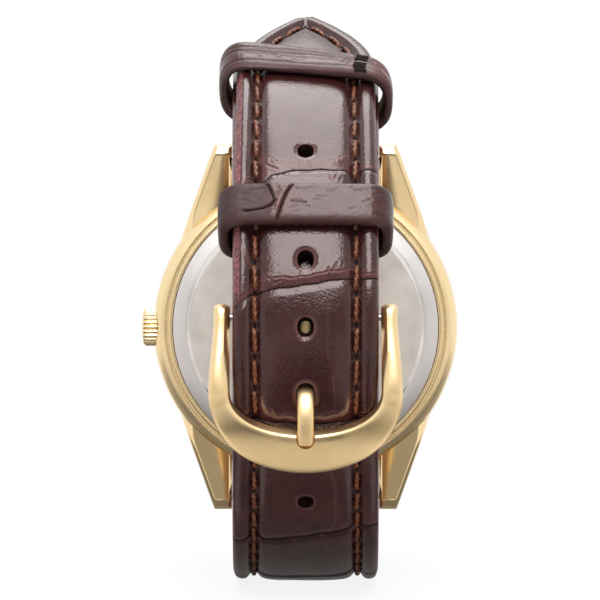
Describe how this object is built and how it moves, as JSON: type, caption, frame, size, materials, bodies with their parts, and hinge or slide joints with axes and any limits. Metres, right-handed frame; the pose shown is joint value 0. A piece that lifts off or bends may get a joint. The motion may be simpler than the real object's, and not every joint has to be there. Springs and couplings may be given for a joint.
{
  "type": "wristwatch",
  "caption": "Buckled quartz wristwatch: round gold case with tapered lugs, steel case back, fluted crown, stitched leather strap, keepers and tang buckle.",
  "frame": {"origin": "centre of the strap's buckle-side curve, on the axis of the wrist it is worn on", "axes": "X along the wrist with the crown at -X, Y from the buckle to the dial, Z from 6 o'clock up to 12 o'clock"},
  "size_m": [0.0399, 0.0587, 0.0683],
  "materials": {
    "gold": "polished champagne gold plate over brass",
    "steel": "fine turned stainless steel",
    "bright_can": "bright plated can",
    "brass": "plain brass",
    "white_plastic": "moulded plastic",
    "board": "green circuit laminate",
    "winding": "lacquered copper wire, held as brass",
    "seal": "black seal rubber",
    "glass": "clear flat crystal",
    "dial": "satin off-white lacquer",
    "leather": "glossy dark brown embossed leather",
    "lining": "matte tan leather",
    "thread": "waxed orange-brown thread"
  },
  "bodies": {
    "case": {"case_middle": "gold", "bezel": "gold", "crystal": "glass", "case_back": "steel", "dial_ring": "gold", "dial": "dial", "movement_holder": "white_plastic", "main_plate": "brass", "train_bridge": "steel", "circuit_board": "board", "quartz_oscillator": "bright_can", "battery_cell": "bright_can", "battery_clamp": "steel", "motor_coil": "winding", "motor_stator": "steel", "crown_tube": "steel", "case_back_gasket": "seal", "crystal_gasket": "seal", "spring_bar_12": "steel", "spring_bar_6": "steel"},
    "seconds": {"fourth_wheel": "brass", "second_hand": "gold"},
    "fifth": {"fifth_wheel": "white_plastic"},
    "rotor": {"motor_rotor": "steel"},
    "third": {"third_wheel": "brass"},
    "centre": {"centre_wheel": "brass", "minute_hand": "gold"},
    "minute": {"minute_wheel": "brass"},
    "hour": {"hour_wheel": "brass", "hour_hand": "gold"},
    "setting": {"setting_wheel": "steel"},
    "clutch": {"sliding_pinion": "steel"},
    "crown": {"crown": "gold", "stem": "steel", "crown_gasket": "seal"},
    "lever": {"setting_lever": "steel"},
    "short_strap": {"buckle_strap_upper": "leather", "buckle_strap_lining": "lining", "buckle_strap_stitching": "thread", "fixed_keeper": "leather", "buckle_bar": "steel"},
    "long_strap": {"hole_strap_upper": "leather", "hole_strap_lining": "lining", "hole_strap_stitching": "thread"},
    "loop": {"free_keeper": "leather"},
    "frame": {"buckle_frame": "gold"},
    "tongue": {"buckle_tongue": "gold"},
    "spring_bar_12_tip_left": {"spring_bar_12_tip_left": "steel"},
    "spring_bar_12_tip_right": {"spring_bar_12_tip_right": "steel"},
    "spring_bar_6_tip_left": {"spring_bar_6_tip_left": "steel"},
    "spring_bar_6_tip_right": {"spring_bar_6_tip_right": "steel"},
    "buckle_bar_tip_left": {"buckle_bar_tip_left": "steel"},
    "buckle_bar_tip_right": {"buckle_bar_tip_right": "steel"}
  },
  "joints": [
    {"name": "seconds_turn", "type": "hinge", "parent": "case", "child": "seconds", "pos_m": [0, 0.0244, 0], "axis": [0, -1, 0], "continuous": true},
    {"name": "fifth_turn", "type": "hinge", "parent": "case", "child": "fifth", "pos_m": [0.00345, 0.0244, -0.00242], "axis": [0, -1, 0], "continuous": true},
    {"name": "rotor_turn", "type": "hinge", "parent": "case", "child": "rotor", "pos_m": [0.00345, 0.0244, -0.00473], "axis": [0, -1, 0], "continuous": true},
    {"name": "third_turn", "type": "hinge", "parent": "case", "child": "third", "pos_m": [0.00169, 0.0244, 0.00363], "axis": [0, -1, 0], "continuous": true},
    {"name": "centre_turn", "type": "hinge", "parent": "case", "child": "centre", "pos_m": [0, 0.0244, 0], "axis": [0, -1, 0], "continuous": true},
    {"name": "minute_turn", "type": "hinge", "parent": "case", "child": "minute", "pos_m": [-0.00241, 0.0244, 0], "axis": [0, -1, 0], "continuous": true},
    {"name": "hour_turn", "type": "hinge", "parent": "case", "child": "hour", "pos_m": [0, 0.0244, 0], "axis": [0, -1, 0], "continuous": true},
    {"name": "setting_turn", "type": "hinge", "parent": "case", "child": "setting", "pos_m": [-0.00541, 0.0244, 0], "axis": [0, -1, 0], "continuous": true},
    {"name": "crown_turn", "type": "hinge", "parent": "case", "child": "clutch", "pos_m": [-0.0192, 0.0281, 0], "axis": [-1, 0, 0], "continuous": true},
    {"name": "crown_pull", "type": "slide", "parent": "clutch", "child": "crown", "axis": [-1, 0, 0], "range_m": [0, 0.001]},
    {"name": "lever_turn", "type": "hinge", "parent": "case", "child": "lever", "pos_m": [-0.00982, 0.0244, 0.0022], "axis": [0, 1, 0], "range_deg": [0, 26.5]},
    {"name": "strap_open", "type": "hinge", "parent": "case", "child": "short_strap", "pos_m": [0, 0.0265, 0.0214], "axis": [-1, 0, 0], "range_deg": [0, 65], "deforming": ["hole_strap_upper", "hole_strap_lining", "hole_strap_stitching"]},
    {"name": "long_strap_open", "type": "hinge", "parent": "case", "child": "long_strap", "pos_m": [0, 0.0265, -0.0214], "axis": [1, 0, 0], "range_deg": [0, 65.5]},
    {"name": "frame_turn", "type": "hinge", "parent": "short_strap", "child": "frame", "pos_m": [0, -0.02097, 0.0011], "axis": [-1, 0, 0], "range_deg": [0, 36]},
    {"name": "tongue_turn", "type": "hinge", "parent": "short_strap", "child": "tongue", "pos_m": [0, -0.02097, 0.0011], "axis": [-1, 0, 0], "range_deg": [0, 62]},
    {"name": "free_keeper_slide", "type": "hinge", "parent": "short_strap", "child": "loop", "pos_m": [0, 0.03073, -0.02401], "axis": [-1, 0, 0], "range_deg": [-15, 0.5]},
    {"name": "spring_bar_12_tip_left_push", "type": "slide", "parent": "case", "child": "spring_bar_12_tip_left", "axis": [1, 0, 0], "range_m": [0, 0.001], "stiffness_N_per_m": 800, "springref_m": -0.0005},
    {"name": "spring_bar_12_tip_right_push", "type": "slide", "parent": "case", "child": "spring_bar_12_tip_right", "axis": [-1, 0, 0], "range_m": [0, 0.001], "stiffness_N_per_m": 800, "springref_m": -0.0005},
    {"name": "spring_bar_6_tip_left_push", "type": "slide", "parent": "case", "child": "spring_bar_6_tip_left", "axis": [1, 0, 0], "range_m": [0, 0.001], "stiffness_N_per_m": 800, "springref_m": -0.0005},
    {"name": "spring_bar_6_tip_right_push", "type": "slide", "parent": "case", "child": "spring_bar_6_tip_right", "axis": [-1, 0, 0], "range_m": [0, 0.001], "stiffness_N_per_m": 800, "springref_m": -0.0005},
    {"name": "buckle_bar_tip_left_push", "type": "slide", "parent": "short_strap", "child": "buckle_bar_tip_left", "axis": [1, 0, 0], "range_m": [0, 0.001], "stiffness_N_per_m": 800, "springref_m": -0.0005},
    {"name": "buckle_bar_tip_right_push", "type": "slide", "parent": "short_strap", "child": "buckle_bar_tip_right", "axis": [-1, 0, 0], "range_m": [0, 0.001], "stiffness_N_per_m": 800, "springref_m": -0.0005}
  ],
  "couplings": [
    {"joint": "fifth_turn", "follows": "seconds_turn", "ratio": -5},
    {"joint": "rotor_turn", "follows": "seconds_turn", "ratio": 30},
    {"joint": "third_turn", "follows": "seconds_turn", "ratio": -0.13333},
    {"joint": "centre_turn", "follows": "seconds_turn", "ratio": 0.016667},
    {"joint": "minute_turn", "follows": "seconds_turn", "ratio": -0.0055556},
    {"joint": "hour_turn", "follows": "seconds_turn", "ratio": 0.0013889},
    {"joint": "setting_turn", "follows": "seconds_turn", "ratio": 0.0083333},
    {"joint": "lever_turn", "follows": "crown_pull", "rad_per_m": 454.5},
    {"joint": "long_strap_open", "follows": "strap_open", "ratio": 1},
    {"joint": "frame_turn", "follows": "strap_open", "ratio": 0.53},
    {"joint": "tongue_turn", "follows": "strap_open", "ratio": 0.93}
  ]
}
